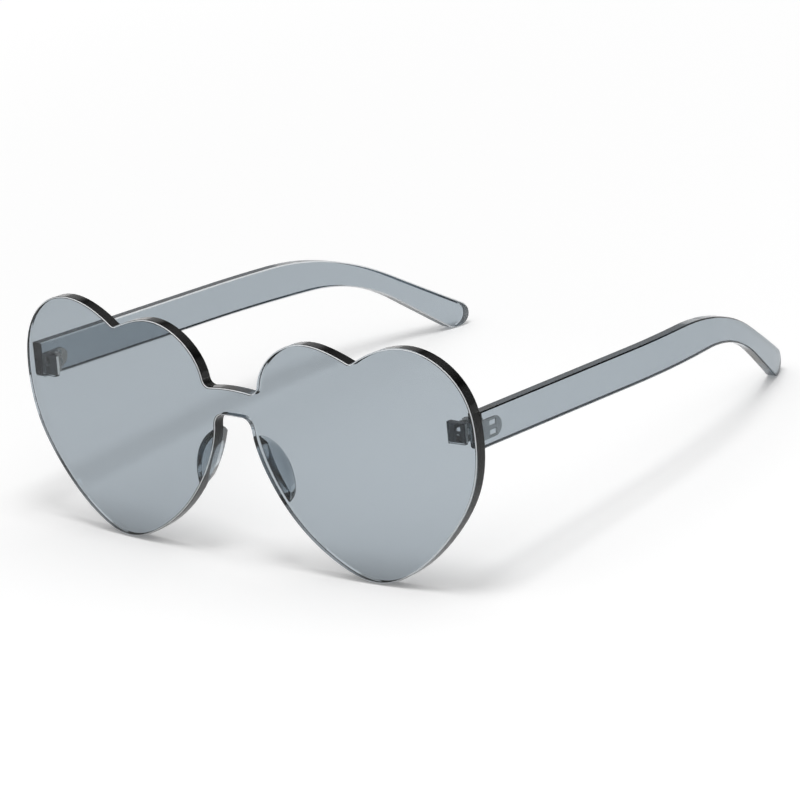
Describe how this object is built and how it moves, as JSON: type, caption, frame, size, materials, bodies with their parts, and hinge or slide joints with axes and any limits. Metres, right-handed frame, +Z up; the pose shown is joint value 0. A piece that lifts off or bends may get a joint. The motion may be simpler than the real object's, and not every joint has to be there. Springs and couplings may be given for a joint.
{
  "type": "heart shaped sunglasses",
  "caption": "Rimless sunglasses with a tinted clear one-piece heart front, leaf nose pads and folding clear side arms on metal hinges.",
  "frame": {"origin": "middle of the bounding box on the table, where the glasses stand open on both heart tips and both ear ends", "axes": "+X toward the wearer's left, +Y from the lens back along the side arms, +Z up from the table"},
  "size_m": [0.1484, 0.144, 0.0591],
  "materials": {
    "tinted_polycarbonate": "polished clear grey-blue tint",
    "pad_polycarbonate": "polished clear grey-blue tint",
    "temple_polycarbonate": "polished clear grey-blue tint",
    "hinge_metal": "bright nickel",
    "screw_metal": "bright steel"
  },
  "bodies": {
    "front": {"lens": "tinted_polycarbonate", "nose_pad_left": "pad_polycarbonate", "nose_pad_right": "pad_polycarbonate", "hinge_block_left": "pad_polycarbonate", "hinge_block_right": "pad_polycarbonate", "front_hinge_leaf_left": "hinge_metal", "front_hinge_leaf_right": "hinge_metal", "hinge_screw_left": "screw_metal", "hinge_screw_right": "screw_metal"},
    "left_arm": {"temple_left": "temple_polycarbonate", "temple_hinge_leaf_left": "hinge_metal"},
    "right_arm": {"temple_right": "temple_polycarbonate", "temple_hinge_leaf_right": "hinge_metal"}
  },
  "joints": [
    {"name": "left_arm_fold", "type": "hinge", "parent": "front", "child": "left_arm", "pos_m": [0.068, -0.05845, 0.03871], "axis": [0, 0.1104, 0.9939], "range_deg": [0, 82]},
    {"name": "right_arm_fold", "type": "hinge", "parent": "front", "child": "right_arm", "pos_m": [-0.068, -0.05845, 0.03871], "axis": [0, -0.1104, -0.9939], "range_deg": [0, 68]}
  ]
}
